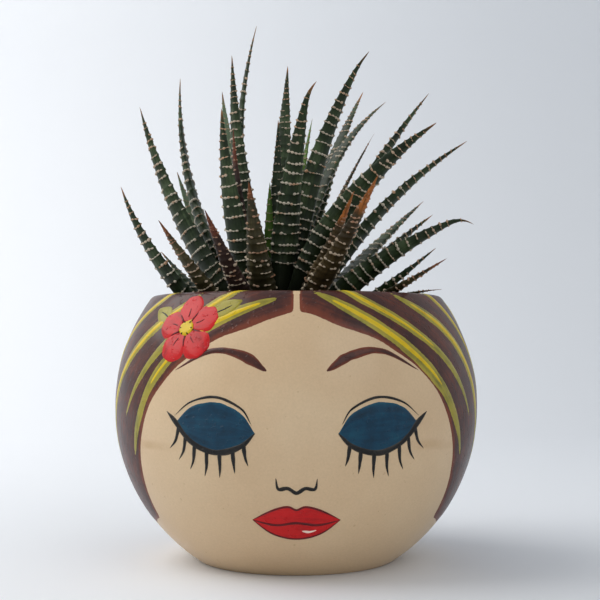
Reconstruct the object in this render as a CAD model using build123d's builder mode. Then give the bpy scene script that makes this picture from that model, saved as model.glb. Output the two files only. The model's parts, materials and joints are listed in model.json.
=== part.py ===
# Head planter: a round clay pot with a flat foot, planted with a rosette of pointed, arching leaves.
# Lengths are millimetres and angles are degrees. The pot's axis is Z, it stands on Z = 0,
# and the painted front faces -Y.
import os
from collections import namedtuple
from math import cos, hypot, radians, sin, sqrt

from build123d import *

# Pot
foot_radius = 35.0
belly_radius = 65.0
belly_height = 54.5
rim_radius = 52.0
pot_height = 94.0
wall = 5.5
floor_thickness = 6.0
lip_round = 2.4
foot_round = 1.5
recess_radius = 27.0
recess_depth = 1.2
drain_radius = 5.0

# Net over the drain hole
net_overlap = 2.0
net_thickness = 0.8
net_hole = 1.6
net_strand = 0.8

# Drainage layer of clay balls
ball_diameter = 10.0
ball_gap = 0.2

# Potting mix and the plant's root ball
soil_gap = 0.3
headspace = 20.0
root_top_radius = 24.0
root_bottom_radius = 18.0
root_depth = 42.0

# Stem: a cone that carries the leaves, on a trunk just tall enough for the leaves to pass over the rim,
# with a stub in the root ball
stem_x = -8.0
stem_radius = 13.0
stem_tip_radius = 3.0
stem_height = 20.0
trunk_least = 2.0
stub_radius = 7.0
stub_depth = 12.0
stub_gap = 0.2

# Leaves. The outline pairs a share of the length with a share of the half width.
# The leaves pass over the rim with a clearance, looked at in a number of places along each leaf.
crown_lift = 1.0
ring_step = 3.0
leaf_inset = 2.5
leaf_back_bulge = 0.62
leaf_front_bulge = 0.2
leaf_outline = [
    (0.1, 0.78), (0.25, 1.0), (0.45, 0.87), (0.62, 0.64),
    (0.78, 0.4), (0.9, 0.2), (0.96, 0.1), (1.0, 0.03),
]
leaf_base_share = 0.5
rim_clearance = 0.5
rim_checks = 40

# One row per leaf, from the lowest ring to the heart. The azimuth turns from +X towards +Y, the lean is
# measured from the vertical, and a leaf with a positive curl bends up towards its tip. The roll turns a
# leaf about its own length.
Leaf = namedtuple("Leaf", "ring azimuth lean curl length width roll")
leaves = [
    Leaf(0, -34, 66, 2, 63, 8.5, 0),
    Leaf(0, -12, 56, 4, 56, 9, 10),
    Leaf(0, 10, 71, -16, 55, 7, 0),
    Leaf(0, 66, 52, 6, 60, 10, 0),
    Leaf(0, 94, 52, 4, 58, 10, 0),
    Leaf(0, 122, 50, 4, 58, 10, 0),
    Leaf(0, 152, 49, 4, 50, 9, 0),
    Leaf(0, -162, 40, 20, 70, 11.5, -10),
    Leaf(0, -132, 49, 6, 58, 9.5, 0),
    Leaf(1, -58, 48, 4, 72, 9.5, 0),
    Leaf(1, -16, 57, -14, 74, 11.5, 25),
    Leaf(1, 17, 50, -6, 68, 11.5, 20),
    Leaf(1, 40, 52, -4, 86, 9.5, 0),
    Leaf(1, 80, 45, 8, 68, 10, 0),
    Leaf(1, 108, 44, 8, 70, 10, 0),
    Leaf(1, 138, 34, 10, 76, 10, 0),
    Leaf(1, -116, 46, 4, 55, 8, 0),
    Leaf(2, -46, 35, 4, 53, 8, 0),
    Leaf(2, 0, 43, -16, 91, 10.5, 18),
    Leaf(2, 56, 39, 4, 70, 9, 0),
    Leaf(2, 86, 35, 8, 74, 10, 0),
    Leaf(2, 118, 22, 8, 101, 9.5, 0),
    Leaf(2, 168, 28, 12, 92, 12.5, -40),
    Leaf(2, -104, 28, 6, 52, 9.5, 0),
    Leaf(3, -36, 44, -22, 88, 13, 20),
    Leaf(3, 14, 32, -8, 99, 11, 30),
    Leaf(3, 53, 29, -10, 105, 9.5, 0),
    Leaf(3, 90, 22, 8, 72, 9, 0),
    Leaf(3, 146, 22, 24, 102, 11, -30),
    Leaf(3, -126, 18, 14, 74, 10.5, 0),
    Leaf(4, -142, 11, 8, 64, 7, 0),
    Leaf(4, -69, 21, -14, 81, 10, 0),
    Leaf(4, 10, 26, -5, 71, 5, 0),
    Leaf(4, 43, 33, -24, 102, 8.5, 0),
    Leaf(4, 84, 20, -4, 104, 9, 0),
    Leaf(5, -20, 19, -13, 93, 12, 18),
    Leaf(5, 34, 10, -4, 68, 6, 0),
    Leaf(5, 86, 8, -4, 68, 6, 0),
    Leaf(5, 144, 2, 20, 103, 10, -40),
    Leaf(5, -176, 7, 5, 89, 9.5, -45),
    Leaf(6, 0, 5, -3, 55, 5, 0),
    Leaf(6, -120, 0, 2, 38, 5, 0),
]

# Places that follow from the sizes above
pot_arc = Edge.make_three_point_arc((foot_radius, 0), (belly_radius, belly_height), (rim_radius, pot_height))
soil_top = pot_height - headspace
ball_radius = ball_diameter / 2
ball_z = floor_thickness + ball_radius
soil_bottom = floor_thickness + net_thickness + ball_diameter
net_radius = drain_radius + net_overlap
stem_taper = (stem_radius - stem_tip_radius) / stem_height


def inside_radius(z, inset):
    """Radius at height z of the surface that lies the given inset inside the pot's outer wall."""
    centre = pot_arc.arc_center
    return centre.X + sqrt((pot_arc.radius - inset) ** 2 - (z - centre.Y) ** 2)


def inside_profile(low, high, inset):
    """Half section between two heights, from the axis out to a surface parallel to the outer wall."""
    middle = (low + high) / 2
    rim = (inside_radius(high, inset), high)
    foot = (inside_radius(low, inset), low)
    with BuildLine() as outline:
        ThreePointArc(foot, (inside_radius(middle, inset), middle), rim)
        Polyline(rim, (0, high), (0, low), foot)
    return outline.line


def finish_piece(piece, name):
    """Labels a finished piece and writes it under its name."""
    piece.label = name
    export_step(piece, f"parts/{name}.step")


def make_pot():
    with BuildPart() as pot:
        with BuildSketch(Plane.XZ):
            with BuildLine():
                ThreePointArc((foot_radius, 0), (belly_radius, belly_height), (rim_radius, pot_height))
                Polyline((rim_radius, pot_height), (0, pot_height), (0, 0), (foot_radius, 0))
            make_face()
        revolve(axis=Axis.Z)
        with BuildSketch(Plane.XZ):
            add(inside_profile(floor_thickness, pot_height, wall))
            make_face()
        revolve(axis=Axis.Z, mode=Mode.SUBTRACT)
        with BuildSketch(Plane.XY):
            Circle(recess_radius)
        extrude(amount=recess_depth, mode=Mode.SUBTRACT)
        with BuildSketch(Plane.XY):
            Circle(drain_radius)
        extrude(amount=floor_thickness, mode=Mode.SUBTRACT)
        rounds = pot.edges().filter_by(GeomType.CIRCLE)
        fillet(rounds.group_by(Axis.Z)[-1], lip_round)
        fillet(rounds.group_by(Axis.Z)[0].sort_by(SortBy.RADIUS)[-1], foot_round)
    return pot.part


def make_net():
    pitch = net_hole + net_strand
    reach = int(net_radius / pitch)
    corner = net_radius - net_strand
    with BuildPart() as net:
        with BuildSketch(Plane.XY.offset(floor_thickness)):
            Circle(net_radius)
            for column in range(-reach, reach + 1):
                for row in range(-reach, reach + 1):
                    far_corner = hypot(abs(column) * pitch + net_hole / 2, abs(row) * pitch + net_hole / 2)
                    if far_corner < corner:
                        with Locations((column * pitch, row * pitch)):
                            Rectangle(net_hole, net_hole, mode=Mode.SUBTRACT)
        extrude(amount=net_thickness)
    return net.part


def make_balls():
    pitch = ball_diameter + ball_gap
    row_step = pitch * sqrt(3) / 2
    limit = inside_radius(ball_z, wall + ball_radius + ball_gap)
    reach = int(limit / row_step) + 1
    with BuildPart() as balls:
        for row in range(-reach, reach + 1):
            for column in range(-reach, reach + 1):
                x = (column + (row % 2) / 2) * pitch
                y = row * row_step
                if hypot(x, y) <= limit:
                    lift = net_thickness if hypot(x, y) < net_radius else 0
                    with Locations((x, y, ball_z + lift)):
                        Sphere(ball_radius)
    return balls.part


def root_profile(gap):
    """Half section of the root ball about the stem's axis, widened by a gap."""
    with BuildLine() as outline:
        Polyline(
            (stem_x, soil_top),
            (stem_x + root_top_radius + gap, soil_top),
            (stem_x + root_bottom_radius + gap, soil_top - root_depth),
            (stem_x, soil_top - root_depth),
            close=True,
        )
    return outline.line


stem_axis = Axis((stem_x, 0, 0), (0, 0, 1))


def make_soil():
    with BuildPart() as soil:
        with BuildSketch(Plane.XZ):
            add(inside_profile(soil_bottom, soil_top, wall + soil_gap))
            make_face()
        revolve(axis=Axis.Z)
        with BuildSketch(Plane.XZ):
            add(root_profile(soil_gap))
            make_face()
        revolve(axis=stem_axis, mode=Mode.SUBTRACT)
    return soil.part


def make_root_ball():
    with BuildPart() as root_ball:
        with BuildSketch(Plane.XZ):
            add(root_profile(0))
            make_face()
        revolve(axis=stem_axis)
        with BuildSketch(Plane.XY.offset(soil_top)):
            with Locations((stem_x, 0)):
                Circle(stub_radius + stub_gap)
        extrude(amount=-stub_depth, mode=Mode.SUBTRACT)
    return root_ball.part


def make_stem(crown):
    with BuildPart() as stem:
        with BuildSketch(Plane.XZ):
            with BuildLine():
                Polyline(
                    (stem_x, soil_top - stub_depth),
                    (stem_x + stub_radius, soil_top - stub_depth),
                    (stem_x + stub_radius, soil_top),
                    (stem_x + stem_radius, soil_top),
                    (stem_x + stem_radius, crown),
                    (stem_x + stem_tip_radius, crown + stem_height),
                    (stem_x, crown + stem_height),
                    close=True,
                )
            make_face()
        revolve(axis=stem_axis)
    return stem.part


def leaf_section(leaf, base, out, distance):
    """Plane across the leaf at a distance along its arc from the base. Its -Y is the leaf's back."""
    start = radians(leaf.lean + leaf.curl)
    turn = -2 * radians(leaf.curl) * distance / leaf.length
    chord = distance * sin(turn / 2) / (turn / 2) if turn else distance
    middle = start + turn / 2
    up = Vector(0, 0, 1)
    point = base + out * (chord * sin(middle)) + up * (chord * cos(middle))
    tangent = out * sin(start + turn) + up * cos(start + turn)
    side = up.cross(out)
    back = side.cross(tangent)
    roll = radians(leaf.roll)
    return Plane(point, x_dir=side * cos(roll) + back * sin(roll), z_dir=tangent)


def leaf_base(leaf, crown):
    """Where a leaf leaves the stem's cone, whose foot is at the crown's height, and the way it leans."""
    height = crown_lift + leaf.ring * ring_step
    azimuth = radians(leaf.azimuth)
    out = Vector(cos(azimuth), sin(azimuth), 0)
    return Vector(stem_x, 0, crown + height) + out * (stem_radius - stem_taper * height), out


def lip_height(radius):
    """Height of the lip's rounded top at a distance from the pot's axis."""
    short = max(0, inside_radius(pot_height, wall) + lip_round - radius)
    return pot_height - lip_round + sqrt(lip_round ** 2 - short ** 2)


def trunk_need(leaf):
    """How tall the trunk has to be for the leaf's back to pass over the pot's rim."""
    base, out = leaf_base(leaf, soil_top)
    half = leaf.width / 2
    needs = []
    for check in range(1, rim_checks + 1):
        section = leaf_section(leaf, base, out, leaf.length * check / rim_checks)
        for across in (-1, -0.5, 0, 0.5, 1):
            sag = half * leaf_back_bulge * (1 - across ** 2)
            point = section.from_local_coords((across * half, -sag, 0))
            radius = hypot(point.X, point.Y)
            if inside_radius(pot_height, wall) <= radius <= rim_radius:
                needs.append(lip_height(radius) + rim_clearance - point.Z)
    return max(needs, default=trunk_least)


def make_leaf(leaf, stem, crown):
    base, out = leaf_base(leaf, crown)
    stations = [(-leaf_inset, leaf_base_share)]
    stations += [(share * leaf.length, width_share) for share, width_share in leaf_outline]
    with BuildPart() as blade:
        for distance, width_share in stations:
            half = leaf.width / 2 * width_share
            with BuildSketch(leaf_section(leaf, base, out, distance)):
                with BuildLine():
                    ThreePointArc((-half, 0), (0, -half * leaf_back_bulge), (half, 0))
                    ThreePointArc((half, 0), (0, half * leaf_front_bulge), (-half, 0))
                make_face()
        loft()
        add(stem, mode=Mode.SUBTRACT)
    return blade.part


os.makedirs("parts", exist_ok=True)
finish_piece(make_pot(), "pot")
finish_piece(make_net(), "drain_net")
finish_piece(make_balls(), "drainage_clay_balls")
finish_piece(make_soil(), "potting_mix")
finish_piece(make_root_ball(), "root_ball")
crown_foot = soil_top + max(trunk_need(leaf_row) for leaf_row in leaves)
stem_solid = make_stem(crown_foot)
finish_piece(stem_solid, "stem")
for number, leaf_row in enumerate(leaves, start=1):
    finish_piece(make_leaf(leaf_row, stem_solid, crown_foot), f"leaf_{number:02d}")
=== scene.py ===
# Looks of the head planter: a painted clay pot with a rosette of banded, pointed leaves.
# The frame is in metres. Named sizes are millimetres and angles are degrees. On the pot, longitude 0 is
# the front and grows to the viewer's right, and latitude 0 is the level of the belly.
import json
import random
from math import asin, atan2, cos, degrees, hypot, pi, radians, sin, sqrt

import bmesh
import bpy
import numpy as np
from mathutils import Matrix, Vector, noise


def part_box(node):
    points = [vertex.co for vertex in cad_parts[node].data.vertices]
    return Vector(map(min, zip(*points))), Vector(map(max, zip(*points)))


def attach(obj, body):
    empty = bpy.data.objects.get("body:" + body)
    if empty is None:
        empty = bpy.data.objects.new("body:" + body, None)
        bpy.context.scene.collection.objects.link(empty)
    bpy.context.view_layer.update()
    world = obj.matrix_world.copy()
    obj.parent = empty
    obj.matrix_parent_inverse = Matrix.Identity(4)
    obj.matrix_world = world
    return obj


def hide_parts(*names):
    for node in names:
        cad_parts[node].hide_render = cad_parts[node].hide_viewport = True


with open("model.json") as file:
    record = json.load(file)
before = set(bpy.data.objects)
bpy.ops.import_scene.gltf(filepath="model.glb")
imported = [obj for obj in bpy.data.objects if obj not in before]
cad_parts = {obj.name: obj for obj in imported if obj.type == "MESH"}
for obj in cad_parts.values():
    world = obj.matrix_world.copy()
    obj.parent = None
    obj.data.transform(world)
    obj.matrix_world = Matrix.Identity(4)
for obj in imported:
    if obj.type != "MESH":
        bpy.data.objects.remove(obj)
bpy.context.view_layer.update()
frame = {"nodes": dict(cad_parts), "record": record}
nodes = frame["nodes"]
slots = {row["node"]: row["material_slot"] for row in frame["record"]["subparts"]}
chance = random.Random(11)
mm = 0.001

# Pot
foot_radius = 35.0
belly_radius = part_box("pot")[1].x / mm
belly_height = 54.5
rim_radius = 52.0
pot_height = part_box("pot")[1].z / mm
wall = 5.5
floor_thickness = 6.0
lip_round = 2.4
foot_round = 1.5
recess_radius = 27.0
recess_depth = 1.2
drain_radius = 5.0
floor_ring = 26.0
middle_ring = 14.0
pot_sides = 240
outside_rings = 84
lip_rings = 22
inside_rings = 44
foot_rings = 6
swell_height = 0.14
ripple_height = 0.06
uneven_fade = 14.0

# Wavy seam at the sides of the pot
seam_drop = 7.0
seam_sway = 6.0
seam_edge = (2.2 * mm, 0.4 * mm)
seam_sides = (34 * mm, 46 * mm)

# Paint
paint_lift = 0.16
paint_sink = 0.15
brush_unit = 10 * mm
patch_shift = (0.37, 0.61)
brush_columns = (-1, -0.8, -0.45, 0, 0.45, 0.8, 1)
stroke_wobble = 0.16
edge_wobble = 0.14
fill_wobble = 0.02
fill_columns = 14

# Soil and stem
soil_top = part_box("potting_mix")[1].z / mm
stem_x = (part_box("stem")[0].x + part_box("stem")[1].x) / 2 / mm
stem_radius = (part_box("stem")[1].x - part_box("stem")[0].x) / 2 / mm
crust_rings = 46
crust_sides = 150
crust_gap = 0.5
crust_rise = 0.8
crust_bumps = 0.75
crust_least = 0.15
crust_edge = 0.2
crust_under = 0.05
crumb_gap = 2.5
crumb_level = 0.9

# Leaves
leaf_sides = 22
ring_step = 1.2
ring_least = 0.08
ridge_rings = (-0.6, -0.25, 0.25, 0.6)
ridge_clear = 0.9
leaf_root = 3.0
root_taper = 0.7
tip_taper = 0.12
tip_end = 0.998
leaf_swell = 0.1
full_leaf_half = 5.0
slice_shares = np.linspace(0.14, 0.97, 22)
section_shares = np.linspace(0, 0.985, 34)
margin_power = 0.92
back_power = 1.25
front_power = 1.5
ridge_height = 0.22
ridge_margin = 0.26
ridge_width = 0.5
ridge_full_half = 3.0
tip_bend_start = 0.86
tip_bends = {"leaf_11": (0.4, 0, -4.2), "leaf_32": (2.2, 0, -0.6), "leaf_36": (1.2, 0, -0.3)}

# Bands of beads on the leaves
band_first = 5.0
band_last = 0.95
band_gap = 2.2
band_gap_more = 1.5
band_sway = 0.5
bead_pitch = 1.3
bead_width = 0.43
bead_height = 0.38
bead_neck = 0.26
bead_sink = 0.1
bead_foot = 1.25
bead_top = 0.5
bead_margin = 0.12
bead_stray = 0.18
bead_strengths = (0.4, 1.05)
bead_full_half = 2.6
bead_slim = 0.35
fewest_beads = 6
turn_samples = 160
inner_side = -0.2
inner_gaps = 0.22


# Shapes shared by several pieces

def add_object(name, data):
    thing = bpy.data.objects.new(name, data)
    bpy.context.scene.collection.objects.link(thing)
    return thing


def make_piece(name, points, faces, materials, uvs=None, kinds=None, edges=None, sharp=60):
    """A mesh piece on the object's one body. UVs are per face corner and kinds are material numbers."""
    mesh = bpy.data.meshes.new(name)
    mesh.from_pydata([tuple(point) for point in points], [], faces)
    if uvs is not None:
        layer = mesh.uv_layers.new(name="UVMap")
        layer.uv.foreach_set("vector", [value for face in uvs for corner in face for value in corner])
    if kinds is not None:
        mesh.polygons.foreach_set("material_index", kinds)
    if edges is not None:
        mesh.attributes.new("edge", "FLOAT", "POINT").data.foreach_set("value", edges)
    for material in materials:
        mesh.materials.append(material)
    shape = bmesh.new()
    shape.from_mesh(mesh)
    bmesh.ops.recalc_face_normals(shape, faces=shape.faces)
    shape.to_mesh(mesh)
    shape.free()
    mesh.shade_smooth()
    mesh.set_sharp_from_angle(angle=radians(sharp))
    piece = add_object(name, mesh)
    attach(piece, "root")
    return piece


def ring_faces(rings, sides, closed=False):
    """Faces between rings of points, and from the last ring to the first where they close."""
    grid = np.arange(rings * sides).reshape(rings, sides)
    above = np.roll(grid, -1, 0)
    faces = np.stack([grid, np.roll(grid, -1, 1), np.roll(above, -1, 1), above], 2)
    return (faces if closed else faces[:-1]).reshape(-1, 4)


def smooth_path(points, count):
    """Points on a smooth curve through the given ones."""
    points = np.array(points, float)
    padded = np.vstack([2 * points[0] - points[1], points, 2 * points[-1] - points[-2]])
    path = []
    for place in np.linspace(0, len(points) - 1, count):
        first = min(int(place), len(points) - 2)
        share = place - first
        a, b, c, d = padded[first:first + 4]
        bend = (2 * a - 5 * b + 4 * c - d) * share ** 2 + (3 * b - a - 3 * c + d) * share ** 3
        path.append(b + ((c - a) * share + bend) / 2)
    return np.array(path)


def tube_faces(start, rings, sides):
    """Faces of a closed tube, numbered from a start: an end point, rings of points, and an end point."""
    faces = (ring_faces(rings, sides) + start + 1).tolist()
    end = start + 1 + rings * sides
    for side in range(sides):
        beside = (side + 1) % sides
        faces.append((start, start + 1 + beside, start + 1 + side))
        faces.append((end, end - sides + side, end - sides + beside))
    return faces


def walked(points):
    """Distances along a line of points."""
    return np.hstack([0, np.cumsum(np.linalg.norm(np.diff(points, axis=0), axis=1))])


def circle_through(points):
    """Centre and radius of the circle through three points."""
    rows = [(2 * x, 2 * y, 1) for x, y in points]
    x, y, rest = np.linalg.solve(rows, [x * x + y * y for x, y in points])
    return float(x), float(y), sqrt(rest + x * x + y * y)


# The pot's skin

arc_points = [(foot_radius, 0), (belly_radius, belly_height), (rim_radius, pot_height)]
arc_r, arc_z, arc_radius = circle_through(arc_points)
lip_z = pot_height - lip_round
outer_lip_r = arc_r + sqrt((arc_radius - lip_round) ** 2 - (lip_z - arc_z) ** 2)
inner_lip_r = arc_r + sqrt((arc_radius - wall + lip_round) ** 2 - (lip_z - arc_z) ** 2)
lip_latitude = degrees(atan2(lip_z - arc_z, outer_lip_r - arc_r))
inner_lip_angle = degrees(atan2(lip_z - arc_z, inner_lip_r - arc_r))
foot_centre_r = arc_r + sqrt((arc_radius - foot_round) ** 2 - (foot_round - arc_z) ** 2)
foot_latitude = degrees(atan2(foot_round - arc_z, foot_centre_r - arc_r))
degree_length = radians(arc_radius)
lip_degrees = radians(90 - lip_latitude) * lip_round / degree_length
lip_flat_degrees = (outer_lip_r - inner_lip_r) / degree_length
lip_inner_degrees = radians(90 + inner_lip_angle) * lip_round / degree_length
lip_end = lip_latitude + lip_degrees + lip_flat_degrees + lip_inner_degrees


def on_circle(centre_r, centre_z, radius, angle):
    """Radius, height and outward direction at an angle of a circle in the pot's section."""
    return centre_r + radius * cos(angle), centre_z + radius * sin(angle), cos(angle), sin(angle)


def profile(latitude):
    """Radius, height and outward direction of the pot's outside. Latitudes past the belly's arc run on
    over the lip, with the same length to a degree."""
    if latitude <= lip_latitude:
        return on_circle(arc_r, arc_z, arc_radius, radians(latitude))
    past = latitude - lip_latitude
    if past <= lip_degrees:
        angle = radians(lip_latitude) + past * degree_length / lip_round
        return on_circle(outer_lip_r, lip_z, lip_round, angle)
    past -= lip_degrees
    if past <= lip_flat_degrees:
        return outer_lip_r - past * degree_length, pot_height, 0.0, 1.0
    angle = pi / 2 + (past - lip_flat_degrees) * degree_length / lip_round
    return on_circle(inner_lip_r, lip_z, lip_round, angle)


def spun(radius, height, longitude):
    """A point of the pot's section at a longitude, in metres."""
    turn = radians(longitude)
    return Vector((radius * sin(turn), -radius * cos(turn), height)) * mm


def unevenness(longitude, latitude):
    """Low swells of the hand-turned clay, gone at the lip and at the foot."""
    fade = min(1, max(0, lip_latitude - latitude) / uneven_fade)
    fade *= min(1, max(0, latitude - foot_latitude) / uneven_fade)
    swell = swell_height * sin(radians(3 * longitude + 20)) * cos(radians(2.5 * latitude))
    ripple = ripple_height * sin(radians(8 * longitude + 110)) * sin(radians(6 * latitude + 30))
    return fade * (swell + ripple)


def skin(longitude, latitude, lift=0.0):
    """A point on the pot's outside, in metres, lifted by a number of millimetres."""
    radius, height, out, up = profile(latitude)
    lift += unevenness(longitude, latitude)
    return spun(radius + out * lift, height + up * lift, longitude)


def degree_widths(latitude):
    """Millimetres to a degree of longitude and to a degree of latitude."""
    return radians(profile(latitude)[0]), degree_length


# Materials

def srgb(red, green, blue):
    """Linear colour of an 8-bit display colour."""
    colour = []
    for share in (red / 255, green / 255, blue / 255):
        colour.append(share / 12.92 if share <= 0.04045 else ((share + 0.055) / 1.055) ** 2.4)
    return colour + [1]


def grey(value):
    return (value, value, value, 1)


def add_node(tree, kind, links=(), **values):
    """A shader node, with sockets linked or set and other values set by name."""
    node = tree.nodes.new("ShaderNode" + kind)
    for name, value in values.items():
        setattr(node, name, value)
    for socket, value in dict(links).items():
        if isinstance(value, bpy.types.NodeSocket):
            tree.links.new(value, node.inputs[socket])
        else:
            node.inputs[socket].default_value = value
    return node


class Look:
    """A material in the making: its shader and the nodes that colour it."""

    def __init__(self, name, roughness, coat=0.0, coat_roughness=0.2, specular=0.5):
        self.material = bpy.data.materials.new(name)
        self.material.use_nodes = True
        self.tree = self.material.node_tree
        self.shader = self.tree.nodes["Principled BSDF"]
        settings = {"Roughness": roughness, "Coat Weight": coat, "Coat Roughness": coat_roughness,
                    "Specular IOR Level": specular}
        for socket, value in settings.items():
            self.shader.inputs[socket].default_value = value
        self.place = self.coordinates()

    def node(self, kind, links=(), **values):
        return add_node(self.tree, kind, links, **values)

    def coordinates(self, kind="Object", scale=(1, 1, 1)):
        source = self.node("TexCoord").outputs[kind]
        return self.node("Mapping", {"Vector": source, "Scale": scale}).outputs["Vector"]

    def axes(self, kind="Object"):
        """Texture coordinates, one by one."""
        return self.node("SeparateXYZ", {0: self.coordinates(kind)}).outputs

    def noise(self, scale, detail=3.0, roughness=0.55, vector=None):
        links = {"Vector": vector or self.place, "Scale": scale, "Detail": detail, "Roughness": roughness}
        return self.node("TexNoise", links).outputs["Fac"]

    def ramp(self, share, stops):
        """Colours along a share from 0 to 1."""
        ramp = self.node("ValToRGB", {"Fac": share})
        while len(ramp.color_ramp.elements) < len(stops):
            ramp.color_ramp.elements.new(0.5)
        for element, (place, colour) in zip(ramp.color_ramp.elements, stops):
            element.position = place
            element.color = colour
        return ramp.outputs["Color"]

    def between(self, value, low, high):
        """How far a value has come from a low to a high one, as a share."""
        links = {"Value": value, "From Min": low, "From Max": high}
        return self.node("MapRange", links, interpolation_type="SMOOTHSTEP").outputs["Result"]

    def math(self, operation, first, second=0.0):
        return self.node("Math", {0: first, 1: second}, operation=operation).outputs[0]

    def plus(self, first, second):
        return self.math("ADD", first, second)

    def times(self, first, second):
        return self.math("MULTIPLY", first, second)

    def mix(self, share, first, second, blend="MIX"):
        links = {0: share, 6: first, 7: second}
        return self.node("Mix", links, data_type="RGBA", blend_type=blend).outputs[2]

    def shaded(self, share, body, amount, shade):
        return self.mix(share, body, self.mix(amount, body, shade))

    def colour(self, colour):
        self.tree.links.new(colour, self.shader.inputs["Base Color"])

    def rough(self, share, low, high):
        stops = [(0.3, grey(low)), (0.7, grey(high))]
        self.tree.links.new(self.ramp(share, stops), self.shader.inputs["Roughness"])

    def bump(self, height, distance, strength):
        """Bumps, in millimetres, of the body and its varnish."""
        links = {"Height": height, "Distance": distance * mm, "Strength": strength}
        normal = self.node("Bump", links).outputs["Normal"]
        self.tree.links.new(normal, self.shader.inputs["Normal"])
        self.tree.links.new(normal, self.shader.inputs["Coat Normal"])


def clay_seam(look):
    """Share of a broken, wavy line below the belly, at the pot's sides."""
    x, _, height = look.axes()
    level = look.plus(height, look.times(look.noise(30), seam_sway * mm))
    near = look.math("ABSOLUTE", look.math("SUBTRACT", level, (belly_height - seam_drop) * mm))
    line = look.between(near, *seam_edge)
    broken = look.between(look.noise(22), 0.42, 0.62)
    aside = look.between(look.math("ABSOLUTE", x), *seam_sides)
    return look.times(look.times(line, broken), aside)


def clay_look():
    """Varnished clay: cloudy, finely grained and thinly specked."""
    look = Look("clay", 0.55, coat=0.4, coat_roughness=0.18, specular=0.25)
    clouds = [(0.3, srgb(209, 179, 141)), (0.5, srgb(214, 185, 147)), (0.72, srgb(219, 192, 155))]
    body = look.ramp(look.noise(30, 4), clouds)
    grain = look.ramp(look.noise(1500, 2), [(0.3, grey(0.8)), (0.7, grey(1.0))])
    body = look.mix(0.35, body, grain, "MULTIPLY")
    speck = look.between(look.noise(620, 2), 0.71, 0.75)
    body = look.mix(look.times(speck, 0.3), body, srgb(160, 120, 82))
    body = look.mix(look.times(clay_seam(look), 0.55), body, srgb(176, 136, 90))
    look.colour(body)
    look.rough(look.noise(120), 0.48, 0.62)
    look.bump(look.noise(700, 3, 0.6), 0.05, 0.4)
    return look.material


def paint_look(name, thin, body, thick, along=0.55, across=9.0):
    """Brushed paint: streaks run along each stroke, and its edges are thin."""
    thin, body, thick = (srgb(*colour) for colour in (thin, body, thick))
    look = Look(name, 0.5, coat=0.35, coat_roughness=0.14, specular=0.1)
    streak = look.noise(1.0, 4, 0.6, look.coordinates("UV", (along, across, 1)))
    blotch = look.noise(150, 5, 0.6)
    cover = look.plus(look.times(streak, 0.45), look.times(blotch, 0.55))
    worn_body = [(first + second) / 2 for first, second in zip(body, thin)]
    colour = look.ramp(cover, [(0.36, thick), (0.5, body), (0.66, worn_body)])
    edge = look.node("Attribute", attribute_name="edge").outputs["Fac"]
    worn = look.between(look.plus(edge, look.times(blotch, 0.8)), 0.75, 1.35)
    look.colour(look.mix(look.times(worn, 0.75), colour, thin))
    look.rough(streak, 0.42, 0.58)
    pimple = look.between(look.noise(760, 1), 0.63, 0.73)
    look.bump(look.plus(look.times(streak, 0.3), pimple), 0.2, 0.8)
    return look.material


def blade_look(name, dark, mid, light, dry, dried):
    """Leaf flesh: mottled, darkened towards the base by painted shade, and dry from a share of its length on.
    """
    dark, mid, light, dry = (srgb(*colour) for colour in (dark, mid, light, dry))
    look = Look(name, 0.45, specular=0.22)
    cloud = look.noise(95, 5, 0.6)
    fibre = look.noise(1.0, vector=look.coordinates("UV", (26, 3, 1)))
    mottle = look.plus(look.times(cloud, 0.65), look.times(fibre, 0.35))
    flesh = look.ramp(mottle, [(0.34, dark), (0.52, mid), (0.68, light)])
    share = look.axes("UV")["Y"]
    # Painted shade: the flesh darkens towards the leaf's base, where the rosette lies in shade.
    flesh = look.shaded(look.between(share, 0.5, 0.08), flesh, 0.8, srgb(14, 14, 8))
    shreds = look.noise(1.0, 4, 0.65, look.coordinates("UV", (14, 22, 1)))
    husk = look.ramp(shreds, [(0.38, [0.3 * value for value in dry[:3]] + [1]), (0.56, dry)])
    wavy = look.plus(share, look.times(look.math("SUBTRACT", cloud, 0.5), 0.16))
    look.colour(look.mix(look.between(wavy, dried, dried + 0.07), flesh, husk))
    look.rough(cloud, 0.38, 0.52)
    look.bump(look.noise(900), 0.08, 0.4)
    return look.material


def bead_look(name, pale, tan, dried):
    """Raised dots of a leaf: chalky, darkened towards the base by painted shade, and tan towards the tip."""
    look = Look(name, 0.6)
    share = look.axes("UV")["Y"]
    patch = look.between(look.noise(260), 0.5, 0.66)
    aged = look.math("MAXIMUM", look.between(share, dried - 0.35, dried + 0.05), patch)
    body = look.mix(aged, srgb(*pale), srgb(*tan))
    # Painted shade: the dots darken towards the leaf's base, as the flesh does.
    look.colour(look.shaded(look.between(share, 0.4, 0.04), body, 0.6, srgb(40, 34, 24)))
    look.bump(look.noise(1600, 2), 0.05, 0.5)
    return look.material


def earth_look(name, dark, mid, light, scale):
    look = Look(name, 0.92)
    grain = look.noise(scale, 6, 0.7)
    look.colour(look.ramp(grain, [(0.34, srgb(*dark)), (0.52, srgb(*mid)), (0.72, srgb(*light))]))
    look.bump(grain, 0.8, 0.8)
    return look.material


clay = clay_look()
brown_paint = paint_look("brown_paint", (124, 58, 36), (68, 33, 26), (46, 22, 20), 0.5, 7)
olive_paint = paint_look("olive_paint", (170, 152, 62), (152, 142, 50), (116, 110, 42))
yellow_paint = paint_look("yellow_paint", (196, 172, 56), (216, 184, 12), (200, 164, 10))
teal_paint = paint_look("teal_paint", (16, 82, 102), (2, 54, 78), (1, 38, 56))
black_paint = paint_look("black_paint", (56, 50, 44), (18, 18, 18), (10, 10, 11))
red_paint = paint_look("red_paint", (204, 32, 28), (196, 18, 22), (166, 10, 16))
dark_red_paint = paint_look("dark_red_paint", (120, 26, 28), (92, 14, 20), (66, 8, 14))
pale_paint = paint_look("pale_paint", (232, 200, 180), (244, 224, 208), (236, 208, 190))


# Pot

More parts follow.
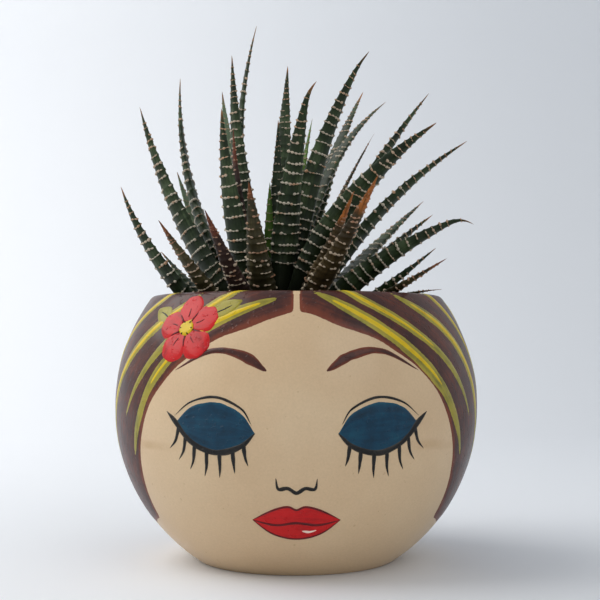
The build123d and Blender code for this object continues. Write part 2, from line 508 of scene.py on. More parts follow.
def pot_rings():
    """Latitudes of the pot's painted side, then (radius, height) of the rest of its section."""
    latitudes = list(np.linspace(foot_latitude, lip_latitude, outside_rings))
    latitudes += list(np.linspace(lip_latitude, lip_end, lip_rings)[1:])
    inner = arc_radius - wall
    floor_angle = degrees(asin((floor_thickness - arc_z) / inner))
    hidden = [on_circle(arc_r, arc_z, inner, radians(angle))[:2]
              for angle in np.linspace(inner_lip_angle, floor_angle, inside_rings)[1:]]
    hidden += [(radius, floor_thickness) for radius in (floor_ring, middle_ring, drain_radius)]
    hidden += [(radius, recess_depth) for radius in (drain_radius, middle_ring, recess_radius)]
    hidden += [(radius, 0) for radius in (recess_radius, foot_centre_r)]
    hidden += [on_circle(foot_centre_r, foot_round, foot_round, radians(angle))[:2]
               for angle in np.linspace(-90, foot_latitude, foot_rings)[1:-1]]
    return latitudes, hidden


def make_pot():
    latitudes, hidden = pot_rings()
    longitudes = [360 * side / pot_sides for side in range(pot_sides)]
    points = [skin(longitude, latitude) for latitude in latitudes for longitude in longitudes]
    points += [spun(radius, height, longitude) for radius, height in hidden for longitude in longitudes]
    faces = ring_faces(len(latitudes) + len(hidden), pot_sides, closed=True).tolist()
    pot = make_piece("painted_pot", points, faces, [clay], sharp=50)
    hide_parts("pot")


make_pot()


# Paint

def slab_faces(length, width):
    """Faces of a thin closed slab: a grid of points, the same grid below, and the rim."""
    grid = np.arange(length * width).reshape(length, width)
    top = np.stack([grid[:-1, :-1], grid[:-1, 1:], grid[1:, 1:], grid[1:, :-1]], 2).reshape(-1, 4)
    rim = np.hstack([grid[0], grid[1:, -1], grid[-1, -2::-1], grid[-2:0:-1, 0]])
    after = np.roll(rim, -1)
    sides = np.stack([after, rim, rim + grid.size, after + grid.size], 1)
    return np.vstack([top, top[:, ::-1] + grid.size, sides])


def brush_uvs(rows, offset):
    """UVs along and across the brush's way, moved on so that no two patches match."""
    grid = np.array(rows) / brush_unit
    along = walked(grid[:, grid.shape[1] // 2])
    across = np.array([walked(row) for row in grid])
    widths = across[:, -1:]
    across = across * widths.mean() / np.where(widths > 0, widths, 1)
    uvs = np.stack([np.repeat(along, grid.shape[1]), across.ravel()], 1)
    return uvs + offset * np.array(patch_shift)


class Layer:
    """Thin closed patches of paint that make one piece."""

    def __init__(self):
        self.points, self.faces, self.uvs, self.edges = [], [], [], []

    def add(self, rows):
        """One patch, from rows of (longitude, latitude, lift, edge) across the brush's way."""
        start = len(self.points)
        top = [[skin(*place[:3]) for place in row] for row in rows]
        uvs = brush_uvs(top, start)
        faces = slab_faces(len(rows), len(rows[0]))
        self.points += [point for row in top for point in row]
        self.points += [skin(place[0], place[1], -paint_sink) for row in rows for place in row]
        self.edges += [place[3] for row in rows for place in row] * 2
        self.faces += (faces + start).tolist()
        self.uvs += uvs[faces % len(uvs)].tolist()

    def stroke(self, points, width, taper=(0.3, 0.5), lift=1.0, count=30):
        """One brush stroke along a curve. The taper gives the shares over which it thickens and thins."""
        path = smooth_path(points, count)
        seed = Vector((path[0][0] * 0.37, path[0][1] * 0.53, len(self.points) * 0.011))
        rows = []
        for step, (longitude, latitude) in enumerate(path):
            share = step / (count - 1)
            wide, tall = degree_widths(latitude)
            before, after = path[max(0, step - 1)], path[min(count - 1, step + 1)]
            run = Vector(((after[0] - before[0]) * wide, (after[1] - before[1]) * tall)).normalized()
            swell = min(1, (share + 0.004) / taper[0]) ** 0.55 * min(1, (1.004 - share) / taper[1]) ** 0.7
            half = width / 2 * swell * (1 + stroke_wobble * noise.noise(seed + Vector((share * 7, 0, 0))))
            row = []
            for across in brush_columns:
                height = paint_lift * lift * (1.15 * (1 - abs(across) ** 3) - 0.15)
                ragged = 1 + edge_wobble * noise.noise(seed + Vector((step * 0.3, 4 * across, 0)))
                reach = half * across * ragged
                place = (longitude - run.y * reach / wide, latitude + run.x * reach / tall)
                row.append((*place, height * min(1, swell * 1.5), abs(across)))
            rows.append(row)
        self.add(rows)

    def fill(self, first, second, lift=1.0, count=30):
        """A patch of paint between two curves."""
        rows = []
        for step, (left, right) in enumerate(zip(smooth_path(first, count), smooth_path(second, count))):
            end = abs(2 * step / (count - 1) - 1)
            spare = (right - left) * fill_wobble
            left = left - spare * noise.noise(Vector((*left, 3)) * 0.35)
            right = right + spare * noise.noise(Vector((*right, 7)) * 0.35)
            row = []
            for column in range(fill_columns + 1):
                across = 2 * column / fill_columns - 1
                place = left + (right - left) * (across + 1) / 2
                edge = max(abs(across), end) ** 6
                row.append((*place, paint_lift * lift * (1 - 1.1 * edge), edge))
            rows.append(row)
        self.add(rows)

    def finish(self, name, material):
        make_piece(name, self.points, self.faces, [material], self.uvs, edges=self.edges)


def mirrored(side, points):
    return [(side * longitude, latitude) for longitude, latitude in points]


# Hair: strands run from the parting and the rim to the ends of the hair
hair_top = lip_end - 1.5
parting = (0.9, 29.5)
parting_share = 0.08
hair_side = (60, -35)
hairline = [parting, (14, 25), (29, 18.5), (43, 8), (52, -6), (57, -20), hair_side]
hairline_wobble = 0.8
back_line = [(180, hair_top), (180, 20), (180, -10), (180, -38)]
hair_drop = 3.0
scallops = 7.5
scallop_depth = 2.6
hair_samples = 200
hair_strands = 96
hair_steps = 60
hair_front = smooth_path(hairline, hair_samples)
hair_back = smooth_path(back_line, hair_samples)

# Streaks of the hair: place across it, start and end along it
streak_rows = [(0.05, 0.04, 0.86), (0.13, 0.0, 0.72), (0.22, 0.1, 0.97), (0.33, 0.0, 0.8), (0.45, 0.06, 0.95),
               (0.57, 0.0, 0.84), (0.69, 0.08, 0.96), (0.81, 0.0, 0.8), (0.93, 0.05, 0.94)]
streak_widths = (6.4, 4.8)
streak_core = 0.48
streak_bends = 9


def blend(first, second, share):
    return (1 - share) * first + share * second


def hair_start(share):
    """The parting, then the rim to the back of the head."""
    longitude, low = parting
    if share < parting_share:
        return np.array((longitude, low + (hair_top - low) * share / parting_share))
    return np.array((longitude + (180 - longitude) * (share - parting_share) / (1 - parting_share), hair_top))


def hair_end(share):
    """The scalloped ends of the hair, from the side to the back."""
    first, low = hair_side
    longitude = first + (180 - first) * share
    scallop = scallop_depth * abs(sin(radians(longitude - first) * scallops)) * min(1, share * 12)
    return np.array((longitude, low - hair_drop * share - scallop))


def hair_place(across, down):
    """A place in the hair's right half, from hairline to back and from roots to ends."""
    row = min(hair_samples - 1, int(down * (hair_samples - 1)))
    corners = blend(blend(hair_start(0), hair_end(0), down), blend(hair_start(1), hair_end(1), down), across)
    sides = blend(hair_front[row], hair_back[row], across)
    return sides + blend(hair_start(across), hair_end(across), down) - corners


def make_hair():
    hair = Layer()
    for side in (-1, 1):
        rows = []
        for step in range(hair_steps + 1):
            down = step / hair_steps
            row = []
            for strand in range(hair_strands + 1):
                across = (strand / hair_strands) ** 1.3
                longitude, latitude = hair_place(across, down)
                latitude += hairline_wobble * (1 - across) ** 24 * noise.noise(Vector((down * 9, side, 0)))
                edge = max(1 - across * 26, abs(2 * down - 1) ** 24, 0)
                row.append((side * longitude, latitude, paint_lift * (1 - 1.1 * edge ** 3), edge))
            rows.append(row)
        hair.add(rows)
    hair.finish("paint_hair", brown_paint)


def streak_path(side, number, across, first, last):
    """A swaying line along a strand of the hair."""
    path = []
    for step in np.linspace(first, last, streak_bends):
        sway = (0.01 + 0.02 * across) * sin(8 * step + 1.9 * number + side)
        path.append(hair_place(across + sway, step))
    return mirrored(side, path)


def make_streaks():
    olive, yellow = Layer(), Layer()
    for side in (-1, 1):
        for number, (across, start, end) in enumerate(streak_rows):
            width = streak_widths[number % 2]
            path = streak_path(side, number, across, start, end)
            core = streak_path(side, number, across, start + 0.05, end - 0.2)
            olive.stroke(path, width, taper=(0.25, 0.45), lift=1.7, count=60)
            yellow.stroke(core, width * streak_core, taper=(0.3, 0.6), lift=2.3, count=50)
    olive.finish("paint_hair_olive", olive_paint)
    yellow.finish("paint_hair_yellow", yellow_paint)


# Face: closed eyes, arched brows, a small nose and full lips, level and even about the middle
eye_line = [(11.5, -5), (16, -8.8), (23.5, -10.6), (31, -8), (36.5, -2.6)]
eye_wing = (40, 0.4)
eye_top = [(11.5, -5), (15.5, 0.4), (23, 3.4), (31, 2), (36.5, -2.6)]
eye_fold = [(12.5, -2.6), (15.5, 1.7), (23, 4.7), (31, 3.3), (37, -0.8)]
brow = [(8.5, 12), (16, 16.4), (26, 17.6), (38, 12)]
mouth_line = [(-14.5, -31), (-7, -32.6), (0, -31.8), (7, -32.6), (14.5, -31)]
upper_lip = [(-14.5, -31), (-8, -27.8), (-3, -26.4), (0, -27.4), (3, -26.4), (8, -27.8), (14.5, -31)]
lower_lip = [(-14.5, -31), (-8, -36), (0, -37.8), (8, -36), (14.5, -31)]
lip_shine = [(1.5, -34.6), (4.5, -35), (8, -33.9)]
nose = [(-6, -17.6), (-5.4, -20.8), (-2.6, -20.6), (0, -22), (2.6, -20.6), (5.4, -20.8), (6, -17.6)]
lash_shares = [0.2, 0.33, 0.46, 0.59, 0.72, 0.84, 0.95]
lash_samples = 101
lash_lean = 7.0
lash_reach = 4.6
lash_more = 3.0


def lash_line(share):
    """One lash, from a share of the closed eye's line."""
    longitude, latitude = smooth_path(eye_line, lash_samples)[int(share * (lash_samples - 1))]
    lean = (share - 0.35) * lash_lean
    reach = lash_reach + lash_more * sin(share * 2.6)
    return [(longitude, latitude), (longitude + lean * 0.35, latitude - reach * 0.6),
            (longitude + lean, latitude - reach)]


def make_eyes():
    lids, lines, brows = Layer(), Layer(), Layer()
    for side in (-1, 1):
        lids.fill(mirrored(side, eye_line), mirrored(side, eye_top), lift=1.2, count=40)
        lines.stroke(mirrored(side, eye_line + [eye_wing]), 2.1, taper=(0.25, 0.22), lift=2.2, count=50)
        lines.stroke(mirrored(side, eye_fold), 0.9, taper=(0.4, 0.4), lift=1.6, count=40)
        for share in lash_shares:
            lines.stroke(mirrored(side, lash_line(share)), 1.5, taper=(0.05, 0.85), lift=1.7, count=16)
        brows.stroke(mirrored(side, brow), 3.4, taper=(0.22, 0.75), lift=1.6, count=40)
    lids.finish("paint_lids", teal_paint)
    brows.finish("paint_brows", brown_paint)
    lines.stroke(nose, 1.4, taper=(0.25, 0.25), lift=1.6, count=50)
    lines.finish("paint_lines", black_paint)


def make_lips():
    lips, line, shine = Layer(), Layer(), Layer()
    lips.fill(mouth_line, upper_lip, lift=1.3, count=40)
    lips.fill(lower_lip, mouth_line, lift=1.3, count=40)
    line.stroke(mouth_line, 1.1, taper=(0.2, 0.2), lift=2.2, count=40)
    for edge in (upper_lip, lower_lip):
        line.stroke(edge, 0.8, taper=(0.2, 0.2), lift=2.0, count=50)
    shine.stroke(lip_shine, 1.5, taper=(0.3, 0.6), lift=2.0, count=20)
    lips.finish("paint_lips", red_paint)
    line.finish("paint_lip_line", dark_red_paint)
    shine.finish("paint_lip_shine", pale_paint)


# Flower in the hair, in millimetres about its heart: five petals and two leaves
flower_place = (-37, 24.5)
petal_count = 5
petal_turn = 8
petal_left = [(0, 1.6), (-4.2, 4.4), (-5.6, 8.2), (-3.2, 11.6), (0, 12.4)]
petal_vein = [(0, 3.5), (0.3, 6), (0, 9)]
petal_gap = [(0, 2.6), (0.2, 5), (0, 7.4)]
flower_leaf = [(0, 10), (-3.6, 13.5), (-2.6, 18), (0, 22)]
flower_leaf_vein = [(0, 11), (0.3, 15), (0, 20)]
flower_leaf_turns = (70, -62)
heart_radius = 2.9
dot_radius = 1.8


def on_flower(turn, points):
    """Curve points about the flower's heart, turned by an angle."""
    longitude, latitude = flower_place
    wide, tall = degree_widths(latitude)
    angle = radians(turn)
    return [(longitude + (x * cos(angle) - y * sin(angle)) / wide,
             latitude + (x * sin(angle) + y * cos(angle)) / tall) for x, y in points]


def fill_petal(layer, turn, left, lift, count):
    layer.fill(on_flower(turn, left), on_flower(turn, mirrored(-1, left)), lift, count)


def make_flower():
    petals, veins, leaves, heart, dots = Layer(), Layer(), Layer(), Layer(), Layer()
    for turn in flower_leaf_turns:
        fill_petal(leaves, turn, flower_leaf, lift=2.4, count=24)
        dots.stroke(on_flower(turn, flower_leaf_vein), 0.9, taper=(0.3, 0.6), lift=3.2, count=16)
    for petal in range(petal_count):
        turn = 360 / petal_count * petal + petal_turn
        fill_petal(petals, turn, petal_left, lift=3.0 + 0.3 * (petal % 2), count=26)
        veins.stroke(on_flower(turn, petal_vein), 0.8, taper=(0.3, 0.7), lift=3.9, count=14)
        gap = on_flower(turn + 180 / petal_count, petal_gap)
        veins.stroke(gap, 0.9, taper=(0.2, 0.6), lift=3.9, count=14)
    turns = [radians(angle) for angle in range(180, 361, 30)]
    ring = [(heart_radius * cos(turn), heart_radius * sin(turn)) for turn in turns]
    heart.fill(on_flower(0, ring), on_flower(0, [(x, -y) for x, y in ring]), lift=4.4, count=20)
    for angle in range(0, 360, 60):
        x, y = dot_radius * cos(radians(angle)), dot_radius * sin(radians(angle))
        dot = [(x * reach, y * reach) for reach in (1, 1.25, 1.5)]
        dots.stroke(on_flower(0, dot), 0.8, taper=(0.4, 0.4), lift=5.2, count=8)
    leaves.finish("paint_flower_leaves", olive_paint)
    petals.finish("paint_flower_petals", red_paint)
    veins.finish("paint_flower_veins", dark_red_paint)
    heart.finish("paint_flower_heart", yellow_paint)
    dots.finish("paint_flower_dots", black_paint)


make_hair()
make_streaks()
make_eyes()
make_lips()
make_flower()


# Leaves: each section is a row of middle, side and back ways, half width, and depths to back and front
middle_part = slice(0, 3)
side_part = slice(3, 6)
back_part = slice(6, 9)
size_part = slice(9, 12)
half_width = 9
back_depth = 10
front_depth = 11


def cut(points, triangles, origin, normal):
    """Points where a plane crosses the edges of a mesh."""
    height = (points - origin) @ normal
    start, end = np.vstack([triangles[:, pair] for pair in ((0, 1), (1, 2), (2, 0))]).T
    crosses = height[start] * height[end] < 0
    start, end = start[crosses], end[crosses]
    share = height[start] / (height[start] - height[end])
    return points[start] + (points[end] - points[start]) * share[:, None]


def unit(vectors):
    return vectors / np.linalg.norm(vectors, axis=-1, keepdims=True)


def columns_at(places, stations, table):
    """Rows at places between the rows of a table, which stand at stations."""
    return np.stack([np.interp(places, stations, column) for column in table.T], 1)


def threes(rows, name, kind):
    """A property of a mesh's parts, three numbers to a row."""
    values = np.empty(len(rows) * 3, kind)
    rows.foreach_get(name, values)
    return values.reshape(-1, 3)


class LeafForm:
    """Sections of one leaf, read from its solid at stations along its middle line, in metres."""

    def __init__(self, node):
        mesh = node.data
        mesh.calc_loop_triangles()
        self.points = threes(mesh.vertices, "co", float)
        self.triangles = threes(mesh.loop_triangles, "vertices", np.int32)
        crown = np.array((stem_x, 0, soil_top)) * mm
        self.tip = self.points[np.linalg.norm(self.points - crown, axis=1).argmax()]
        base = self.points[np.linalg.norm(self.points - self.tip, axis=1).argmax()]
        self.read_sections(self.middle_line(base))
        self.bend_tip(tip_bends.get(node.name, (0, 0, 0)))

    def middle_line(self, base):
        """Middles of slices across the straight line from base to tip."""
        way = unit(self.tip - base)
        line = []
        for share in slice_shares:
            outline = cut(self.points, self.triangles, base + (self.tip - base) * share, way)
            line.append(self.measure(outline, way, np.zeros(3))[middle_part])
        return np.vstack(line + [self.tip])

    def measure(self, outline, way, hint):
        """One section, from a slice's outline. The hint is the side of the section before."""
        gaps = np.linalg.norm(outline[:, None] - outline[None], axis=2)
        first, second = np.unravel_index(gaps.argmax(), gaps.shape)
        side = unit(outline[second] - outline[first])
        side = -side if side @ hint < 0 else side
        middle = (outline[first] + outline[second]) / 2
        back = unit(np.cross(way, side))
        depth = (outline - middle) @ back
        if depth.max() < -depth.min():
            back, depth = -back, -depth
        return np.hstack([middle, side, back, gaps.max() / 2, depth.max(), -depth.min()])

    def read_sections(self, line):
        """Slices square to the middle line, with the root drawn back into the stem."""
        places = walked(line)
        middles = columns_at(places[-1] * section_shares, places, line)
        ways = unit(np.gradient(middles, axis=0))
        rows = []
        for middle, way in zip(middles, ways):
            hint = rows[-1][side_part] if rows else np.zeros(3)
            rows.append(self.measure(cut(self.points, self.triangles, middle, way), way, hint))
        root, tip = rows[0].copy(), rows[-1].copy()
        offsets = self.points - root[middle_part]
        self.root = np.linalg.norm(offsets[offsets @ ways[0] < 0], axis=1).max() + leaf_root * mm
        root[middle_part] -= ways[0] * self.root
        root[size_part] *= root_taper
        tip[middle_part] = self.tip
        tip[size_part] *= tip_taper
        self.table = np.vstack([root, *rows, tip])
        self.stations = walked(self.table[:, middle_part])
        self.length = self.stations[-1]

    def bend_tip(self, bend):
        """Turns the tip aside, more and more towards its end."""
        share = (self.stations / self.length - tip_bend_start) / (1 - tip_bend_start)
        self.table[:, middle_part] += np.clip(share, 0, 1)[:, None] ** 3 * np.array(bend) * mm
        self.tip = self.table[-1, middle_part]

    def set_bands(self, places):
        """Where the leaf's bands lie, and how far each sways along the leaf on its way round."""
        self.bands = np.array(places)
        self.sways = np.array([chance.uniform(-band_sway, band_sway) * mm for _ in places])
        self.phases = np.array([chance.uniform(0, 2 * pi) for _ in places])

    def half(self, along):
        """Half widths at distances from the root."""
        return np.interp(along, self.stations, self.table[:, half_width])

    def section(self, along):
        """Sections at distances from the root."""
        return columns_at(along, self.stations, self.table)

    def ridge(self, along, turn):
        """Rise of the flesh under the bands, most at the leaf's margins."""
        places = self.bands + self.sways * np.sin(turn[:, None] + self.phases)
        near = np.abs(along[:, None] - places).min(axis=1) / (ridge_width * mm)
        slim = np.minimum(1, self.half(along) / (ridge_full_half * mm))
        return (ridge_height + ridge_margin * np.abs(np.cos(turn)) ** 6) * mm * slim * np.exp(-near ** 2)

    def skin(self, along, turn):
        """Points of the skin at distances from the root and turns about the leaf, over the back first."""
        row = self.section(along)
        across, height = np.cos(turn), np.sin(turn)
        x = row[:, half_width] * np.sign(across) * np.abs(across) ** margin_power
        back = row[:, back_depth] * np.abs(height) ** back_power
        front = -row[:, front_depth] * np.abs(height) ** front_power
        y = np.where(height >= 0, back, front)
        return row[:, middle_part] + row[:, side_part] * x[:, None] + row[:, back_part] * y[:, None]

    def outward(self, along, turn):
        """Directions along the leaf and out of its skin."""
        step, swing = 0.3 * mm, 0.04
        way = unit(self.skin(along + step, turn) - self.skin(along - step, turn))
        round_way = self.skin(along, turn + swing) - self.skin(along, turn - swing)
        out = unit(np.cross(round_way, way))
        middle = self.section(along)[:, middle_part]
        away = np.sum(out * (self.skin(along, turn) - middle), axis=1)
        return way, out * np.where(away < 0, -1, 1)[:, None]


def ring_places(form):
    """Distances from the root of the mesh's rings, close together at the bands."""
    even = np.arange(0, form.length, ring_step * mm)
    at_bands = np.hstack([form.bands + offset * mm for offset in ridge_rings])
    near = np.abs(even[:, None] - form.bands).min(axis=1)
    places = np.sort(np.hstack([even[near > ridge_clear * mm], at_bands, form.length * tip_end]))
    places = places[places <= form.length * tip_end]
    return places[np.hstack([True, np.diff(places) > ring_least * mm])]


def blade_mesh(form):
    """Points, faces and UVs of a leaf's flesh."""
    along = ring_places(form)
    turns = np.arange(leaf_sides) * 2 * pi / leaf_sides
    places, angles = np.repeat(along, leaf_sides), np.tile(turns, len(along))
    points = form.skin(places, angles)
    _, out = form.outward(places, angles)
    swell = np.array([noise.noise(Vector(point) * 160) for point in points])
    points = points + out * (swell * leaf_swell * mm + form.ridge(places, angles))[:, None]
    points = np.vstack([form.table[0, middle_part], points, form.tip])
    shares = along / form.length
    uvs = []
    for low, high in zip(shares, shares[1:]):
        for side in range(leaf_sides):
            left, right = side / leaf_sides, (side + 1) / leaf_sides
            uvs.append([(left, low), (right, low), (right, high), (left, high)])
    uvs += [[(0, 0)] * 3, [(0, 1)] * 3] * leaf_sides
    return points, tube_faces(0, len(along), leaf_sides), uvs


def band_places(form, spread):
    """Distances from the root of a leaf's bands, closer at the base and at the tip."""
    place = form.root + band_first * mm * chance.uniform(0.6, 1.2)
    places = []
    while place < form.length * band_last:
        places.append(place)
        share = place / form.length
        gap = band_gap + band_gap_more * sin(pi * min(1, share * 1.1)) ** 0.8
        place += gap * spread * mm * chance.uniform(0.82, 1.18)
    return places


def bead_turns(form, place):
    """Turns evenly spaced round the leaf's skin, three to a bead, and the number of beads."""
    turns = np.linspace(-pi / 2, 3 * pi / 2, turn_samples)
    lengths = walked(form.skin(np.full(turn_samples, place), turns))
    beads = max(fewest_beads, int(lengths[-1] / mm / bead_pitch))
    return np.interp(np.linspace(0, lengths[-1], beads * 3 + 1), lengths, turns), beads


def bead_thickness(turns, beads, gaps):
    """Thickness along a band: beads, necks between them, and nothing where a bead is missing."""
    strengths = []
    for bead in range(beads):
        inner = sin(turns[bead * 3 + 1]) < inner_side
        missing = chance.random() < (gaps + inner_gaps if inner else gaps)
        strengths.append(0 if missing else chance.uniform(*bead_strengths))
    thick = np.zeros(len(turns))
    for bead, strength in enumerate(strengths):
        after = strengths[bead + 1] if bead + 1 < beads else 0
        thick[bead * 3 + 1:bead * 3 + 3] = strength
        thick[bead * 3 + 3] = min(strength, after) * bead_neck
    thick[0] = thick[-1] = 0
    return thick


def unbroken(thick):
    """Stretches between missing beads, as first and past-the-last places."""
    ends = np.flatnonzero(np.diff(np.hstack([False, thick > 0, False]).astype(int)))
    return zip(ends[::2], ends[1::2])


def band_mesh(form, band, gaps, start):
    """Joined beads across a leaf, as closed bumpy strips with points numbered from a start."""
    place = form.bands[band]
    turns, beads = bead_turns(form, place)
    thick = bead_thickness(turns, beads, gaps)
    shift = np.repeat([chance.uniform(-bead_stray, bead_stray) * mm for _ in range(beads)], 3)
    along = place + form.sways[band] * np.sin(turns + form.phases[band]) + np.hstack([shift, 0])
    way, out = form.outward(along, turns)
    centre = form.skin(along, turns) + out * form.ridge(along, turns)[:, None]
    slim = bead_slim + (1 - bead_slim) * min(1, form.half(place) / (bead_full_half * mm))
    margin = 1 + bead_margin * np.abs(np.cos(turns)) ** 8
    scale = (slim * margin * thick * mm)[:, None]
    foot, top = way * bead_width * bead_foot * scale, way * bead_width * bead_top * scale
    low, high = centre - out * bead_sink * mm, centre + out * bead_height * scale
    corners = np.stack([low - foot, high - top, high + top, low + foot], 1)
    points, faces = [], []
    for begin, end in unbroken(thick):
        first = start + len(points)
        points += [low[begin - 1], *corners[begin:end].reshape(-1, 3), low[end]]
        faces += tube_faces(first, end - begin, 4)
    return points, faces, [[(0.5, place / form.length)] * len(face) for face in faces]


green = blade_look("leaf_green", (14, 24, 10), (36, 50, 25), (74, 90, 58), (158, 104, 58), 0.93)
young = blade_look("leaf_young", (50, 80, 24), (76, 108, 34), (106, 134, 54), (128, 96, 52), 0.96)
aged = blade_look("leaf_aged", (28, 27, 13), (54, 49, 27), (86, 78, 48), (128, 74, 40), 0.87)
scorched = blade_look("leaf_scorched", (34, 28, 15), (62, 50, 28), (92, 76, 46), (172, 102, 46), 0.78)
withered = blade_look("leaf_withered", (30, 21, 18), (48, 33, 28), (74, 53, 44), (108, 56, 36), 0.8)
pale = blade_look("leaf_pale", (72, 88, 64), (108, 124, 96), (140, 154, 126), (150, 104, 70), 0.94)
chalk = bead_look("leaf_beads", (190, 180, 160), (176, 136, 102), 0.92)
dull_chalk = bead_look("leaf_beads_aged", (180, 164, 140), (152, 108, 78), 0.84)

# Flesh, beads, share of missing beads and spacing of the bands
leaf_looks = {
    "leaf_green": (green, chalk, 0.1, 1.0),
    "leaf_young": (young, chalk, 0.2, 1.1),
    "leaf_aged": (aged, dull_chalk, 0.32, 0.74),
    "leaf_pale": (pale, chalk, 0.12, 1.0),
    "scorched": (scorched, dull_chalk, 0.46, 0.7),
    "withered": (withered, dull_chalk, 0.46, 0.66),
}
own_looks = {"leaf_10": "scorched", "leaf_17": "withered", "leaf_18": "scorched", "leaf_31": "withered"}


def make_leaf(name):
    form = LeafForm(nodes[name])
    blade, beads, gaps, spacing = leaf_looks[own_looks.get(name, slots[name])]
    breadth = form.table[:, half_width].max() / (full_leaf_half * mm)
    form.set_bands(band_places(form, spacing * (0.6 + 0.4 * min(1.1, breadth))))
    points, faces, uvs = blade_mesh(form)
    points = list(points)
    kinds = [0] * len(faces)
    for band in range(len(form.bands)):
        more_points, more_faces, more_uvs = band_mesh(form, band, gaps, len(points))
        points += more_points
        faces += more_faces
        uvs += more_uvs
        kinds += [1] * len(more_faces)
    leaf = make_piece("banded_" + name, points, faces, [blade, beads], uvs, kinds, sharp=75)
    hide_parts(name)


for node_name in sorted(nodes):
    if node_name.startswith("leaf_"):
        make_leaf(node_name)


# Soil, stem and drainage

peat = earth_look("peat", (28, 20, 15), (52, 38, 28), (86, 64, 46), 420)
rooty = earth_look("rooty", (44, 32, 22), (86, 66, 46), (140, 116, 84), 300)
perlite = earth_look("perlite", (186, 182, 172), (214, 210, 200), (232, 229, 221), 700)
kept = {
    "potting_mix": peat,
    "root_ball": rooty,
    "stem": earth_look("stem_flesh", (70, 66, 40), (98, 96, 62), (128, 124, 88), 160),
    "drainage_clay_balls": earth_look("fired_clay", (104, 54, 34), (142, 78, 50), (170, 102, 70), 380),
    "drain_net": earth_look("net_plastic", (20, 20, 20), (30, 30, 31), (42, 42, 43), 500),
}
for node_name, material in kept.items():
    nodes[node_name].data.materials.clear()
    nodes[node_name].data.materials.append(material)


def soil_reach(gap):
    """Radius of the soil's surface, less a gap at the wall."""
    return arc_r + sqrt((arc_radius - wall) ** 2 - (soil_top - arc_z) ** 2) - gap


def crumbly(place):
    """Height of the crumbly soil at a place on it."""
    bumps = noise.fractal(place * 0.28, 1.0, 2.0, 4) + 0.6 * noise.noise(place * 0.06)
    return max(crust_least, crust_rise + crust_bumps * bumps)


def make_soil_crust():
    """The crumbly top of the soil, over a flat underside."""
    outward = range(1, crust_rings + 1)
    points = []
    for ring, on_top in [(ring, False) for ring in outward] + [(ring, True) for ring in reversed(outward)]:
        radius = soil_reach(crust_gap) * ring / crust_rings
        for side in range(crust_sides):
            turn = 2 * pi * side / crust_sides
            place = Vector((radius * cos(turn), radius * sin(turn), 0))
            rise = crust_edge if ring == crust_rings else crumbly(place)
            place.z = soil_top + (rise if on_top else crust_under)
            points.append(place * mm)
    faces = ring_faces(2 * crust_rings, crust_sides).tolist()
    faces.append(range(crust_sides))
    faces.append(range(len(points) - crust_sides, len(points)))
    make_piece("soil_crust", points, faces, [peat])


def make_crumbs(name, count, sizes, material):
    """Loose lumps that lie on the soil, clear of the stem."""
    lump = bmesh.new()
    bmesh.ops.create_icosphere(lump, subdivisions=1, radius=1)
    shape = [vertex.co.copy() for vertex in lump.verts]
    sides = [tuple(vertex.index for vertex in face.verts) for face in lump.faces]
    lump.free()
    points, faces = [], []
    for _ in range(count):
        radius, turn = soil_reach(crumb_gap) * sqrt(chance.random()), chance.uniform(0, 2 * pi)
        x, y = radius * cos(turn), radius * sin(turn)
        if hypot(x - stem_x, y) < stem_radius + 1:
            continue
        size = chance.uniform(*sizes)
        centre = Vector((x, y, soil_top + crumb_level + size * 0.25))
        stretch = Vector((chance.uniform(0.7, 1.3), chance.uniform(0.7, 1.3), chance.uniform(0.55, 0.9)))
        start = len(points)
        for corner in shape:
            dent = 1 + 0.35 * noise.noise(corner * 1.7 + centre)
            points.append((centre + corner * stretch * size * dent) * mm)
        faces += [tuple(start + index for index in side) for side in sides]
    make_piece(name, points, faces, [material], sharp=35)


make_soil_crust()
make_crumbs("soil_crumbs", 420, (0.6, 1.7), peat)
make_crumbs("soil_grit", 120, (0.5, 1.2), rooty)
make_crumbs("soil_perlite", 70, (0.5, 1.1), perlite)


# Stage, light and camera, in metres
floor_front = -1.6
floor_back = 0.5
stage_half = 2.2
stage_bend = 0.45
bend_steps = 16
backdrop_height = 2.0
backdrop_colour = srgb(226, 229, 233)
# Painted light: the floor's colour runs from lighter on the left, the window's side, to darker on the right.
floor_painted_light = [(0, srgb(238, 240, 243)), (1, srgb(219, 222, 226))]
painted_light_reach = 0.35
floor_fade = (0.5, 1.1)
sky_colour = (0.93, 0.96, 1.0, 1)
sky_strength = 0.58
picture_pixels = 600
focal_pixels = 1149
sensor_width = 36
camera_place = (0, -0.42, 0.0766)
camera_tilt = 92.24
camera_turn = -0.17

# Place, target, size, power and colour of each lamp
lamps = {
    "window": ((-0.94, 0.12, 1.02), (0, 0, 0.08), (1.3, 1.1), 11.5, (1.0, 0.985, 0.96)),
    "fill": ((0.7, -1.0, 0.8), (0, 0, 0.08), (0.8, 0.8), 2.0, (0.97, 0.98, 1.0)),
    "backdrop_light": ((-1.1, 0.0, 0.9), (-0.35, 0.95, 0.3), (0.7, 0.7), 1.4, (1.0, 1.0, 1.0)),
}


def seen_rays(tree):
    """Whether the backdrop is looked at, directly or in a reflection."""
    rays = add_node(tree, "LightPath").outputs
    links = {0: rays["Is Camera Ray"], 1: rays["Is Glossy Ray"]}
    return add_node(tree, "Math", links, operation="MAXIMUM").outputs[0]


def stage_look():
    """Pale floor, painted lighter on the left and darker on the right as painted light, which fades into the
    backdrop far from the object.
    """
    look = Look("stage", 0.85, specular=0.1)
    x, y, _ = look.axes()
    # Painted light across the floor: lighter on the left than on the right.
    look.colour(look.ramp(look.between(x, -painted_light_reach, painted_light_reach), floor_painted_light))
    far = look.math("MAXIMUM", look.math("ABSOLUTE", x), look.times(y, -1))
    share = look.times(look.between(far, *floor_fade), seen_rays(look.tree))
    edge = look.node("Emission", {"Color": backdrop_colour})
    both = look.node("MixShader", {0: share, 1: look.shader.outputs[0], 2: edge.outputs[0]})
    look.tree.links.new(both.outputs[0], look.tree.nodes["Material Output"].inputs["Surface"])
    return look.material


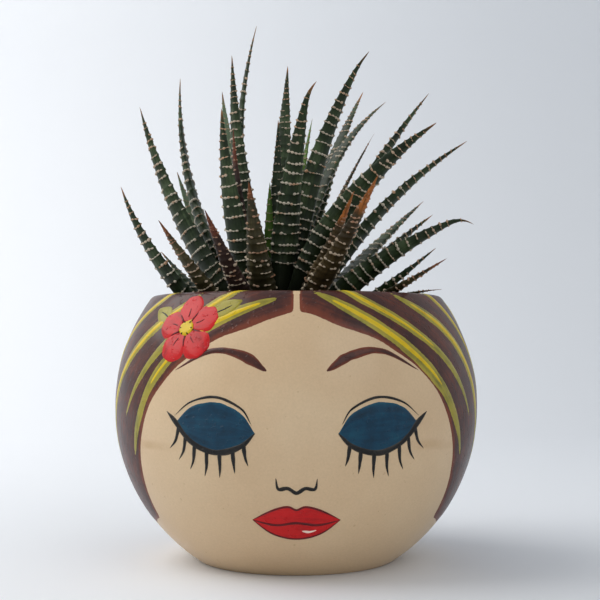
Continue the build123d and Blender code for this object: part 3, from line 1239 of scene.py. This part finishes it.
def make_stage():
    """A pale floor that curves up into a backdrop."""
    section = [(floor_front, 0.0), (floor_back, 0.0)]
    for step in range(1, bend_steps + 1):
        angle = pi / 2 * step / bend_steps
        section.append((floor_back + stage_bend * sin(angle), stage_bend * (1 - cos(angle))))
    section.append((floor_back + stage_bend, backdrop_height))
    points = [(x, y, z) for y, z in section for x in (-stage_half, stage_half)]
    faces = [(2 * row, 2 * row + 1, 2 * row + 3, 2 * row + 2) for row in range(len(section) - 1)]
    mesh = bpy.data.meshes.new("studio_sweep")
    mesh.from_pydata(points, [], faces)
    mesh.materials.append(stage_look())
    mesh.shade_smooth()
    sweep = add_object("studio_sweep", mesh)


def make_lamp(name, place, target, size, power, colour):
    lamp = bpy.data.lights.new(name, "AREA")
    lamp.shape = "RECTANGLE"
    lamp.size, lamp.size_y = size
    lamp.energy = power
    lamp.color = colour
    holder = add_object(name, lamp)
    holder.location = place
    holder.rotation_euler = (Vector(target) - Vector(place)).to_track_quat("-Z", "Y").to_euler()


def make_world():
    """Even light from all round, seen as a pale backdrop past the floor's edge."""
    world = bpy.data.worlds.new("sky")
    world.use_nodes = True
    tree = world.node_tree
    light = tree.nodes["Background"]
    light.inputs["Color"].default_value = sky_colour
    light.inputs["Strength"].default_value = sky_strength
    backdrop = add_node(tree, "Background", {"Color": backdrop_colour})
    both = add_node(tree, "MixShader", {0: seen_rays(tree), 1: light.outputs[0], 2: backdrop.outputs[0]})
    tree.links.new(both.outputs[0], tree.nodes["World Output"].inputs["Surface"])
    bpy.context.scene.world = world


def make_camera():
    """A camera at the photograph's place, a little below the rim."""
    camera = bpy.data.cameras.new("camera")
    camera.sensor_width = sensor_width
    camera.lens = sensor_width * focal_pixels / picture_pixels
    holder = add_object("camera", camera)
    holder.location = camera_place
    holder.rotation_euler = (radians(camera_tilt), 0, radians(camera_turn))
    bpy.context.scene.camera = holder


make_stage()
for lamp_name, lamp_row in lamps.items():
    make_lamp(lamp_name, *lamp_row)
make_world()
bpy.context.scene.view_settings.view_transform = "Standard"
make_camera()
